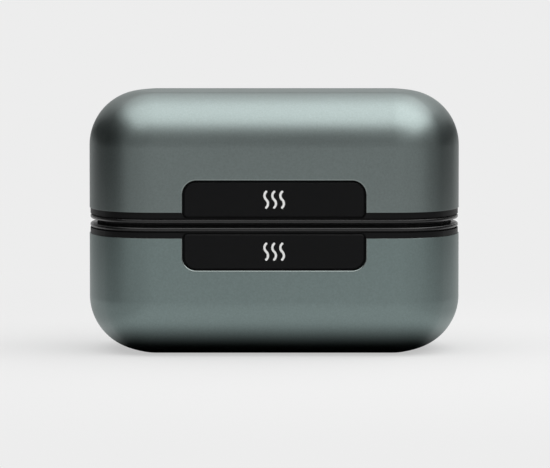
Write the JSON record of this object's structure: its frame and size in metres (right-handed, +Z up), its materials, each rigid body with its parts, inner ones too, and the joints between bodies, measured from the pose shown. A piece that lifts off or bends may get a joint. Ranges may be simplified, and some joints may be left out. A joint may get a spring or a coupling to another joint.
{
  "type": "hand warmer",
  "caption": "Rounded-box rechargeable hand warmers in satin metal shells that cling face to face by magnets, with front tabs, a black seam band and rear port, lights and button.",
  "frame": {"origin": "centre of the face that the pair stands on, at table level", "axes": "+X along the long side, to the right seen from the front; +Y to the rear, where the controls are; +Z up"},
  "size_m": [0.09, 0.05, 0.0632],
  "materials": {
    "anodised_shell": "satin bead-blasted, grey-green anodised",
    "frame_black": "fine moulded texture",
    "face_black": "satin moulded",
    "soft_inlay": "moulded rubber",
    "tab_black": "satin moulded",
    "button_black": "satin moulded",
    "switch_black": "moulded",
    "light_guide_clear": "frosted clear",
    "led_white": "moulded package",
    "port_steel": "plated",
    "port_insert": "moulded with plated contacts",
    "board_green": "solder mask",
    "component_black": "moulded packages",
    "screw_steel": "zinc plated",
    "magnet_nickel": "nickel plated",
    "battery_wrap": "shrink film",
    "lead_red": "insulated wire",
    "heater_amber": "polyimide film",
    "foam_grey": "closed-cell foam",
    "lead_white": "insulated wire",
    "bead_resin": "resin dipped",
    "lead_black": "insulated wire"
  },
  "bodies": {
    "lower_unit": {"lower_shell": "anodised_shell", "lower_inner_frame": "frame_black", "lower_face_plate": "face_black", "lower_face_inlay": "soft_inlay", "lower_label_plate": "tab_black", "lower_control_plate": "tab_black", "lower_switch_body": "switch_black", "lower_light_guide": "light_guide_clear", "lower_status_leds": "led_white", "lower_usb_socket": "port_steel", "lower_usb_tongue": "port_insert", "lower_circuit_board": "board_green", "lower_board_components": "component_black", "lower_board_screws": "screw_steel", "lower_face_screws": "screw_steel", "lower_magnets": "magnet_nickel", "lower_battery_cell": "battery_wrap", "lower_battery_protection_board": "board_green", "lower_battery_leads": "lead_red", "lower_heater_film": "heater_amber", "lower_insulation_pad": "foam_grey", "lower_heater_leads": "lead_white", "lower_thermistor": "bead_resin", "lower_thermistor_leads": "lead_black"},
    "lower_button": {"lower_power_button": "button_black", "lower_switch_plunger": "switch_black"},
    "upper_unit": {"upper_shell": "anodised_shell", "upper_inner_frame": "frame_black", "upper_face_plate": "face_black", "upper_face_inlay": "soft_inlay", "upper_label_plate": "tab_black", "upper_control_plate": "tab_black", "upper_switch_body": "switch_black", "upper_light_guide": "light_guide_clear", "upper_status_leds": "led_white", "upper_usb_socket": "port_steel", "upper_usb_tongue": "port_insert", "upper_circuit_board": "board_green", "upper_board_components": "component_black", "upper_board_screws": "screw_steel", "upper_face_screws": "screw_steel", "upper_magnets": "magnet_nickel", "upper_battery_cell": "battery_wrap", "upper_battery_protection_board": "board_green", "upper_battery_leads": "lead_red", "upper_heater_film": "heater_amber", "upper_insulation_pad": "foam_grey", "upper_heater_leads": "lead_white", "upper_thermistor": "bead_resin", "upper_thermistor_leads": "lead_black"},
    "upper_button": {"upper_power_button": "button_black", "upper_switch_plunger": "switch_black"}
  },
  "joints": [
    {"name": "halves_separate", "type": "slide", "parent": "lower_unit", "child": "upper_unit", "axis": [0, 0, 1], "range_m": [0, 0.06]},
    {"name": "lower_button_press", "type": "slide", "parent": "lower_unit", "child": "lower_button", "axis": [0, -1, 0], "range_m": [0, 0.0004], "stiffness_N_per_m": 4000, "springref_m": -0.00005},
    {"name": "upper_button_press", "type": "slide", "parent": "upper_unit", "child": "upper_button", "axis": [0, -1, 0], "range_m": [0, 0.0004], "stiffness_N_per_m": 4000, "springref_m": -0.00005}
  ]
}
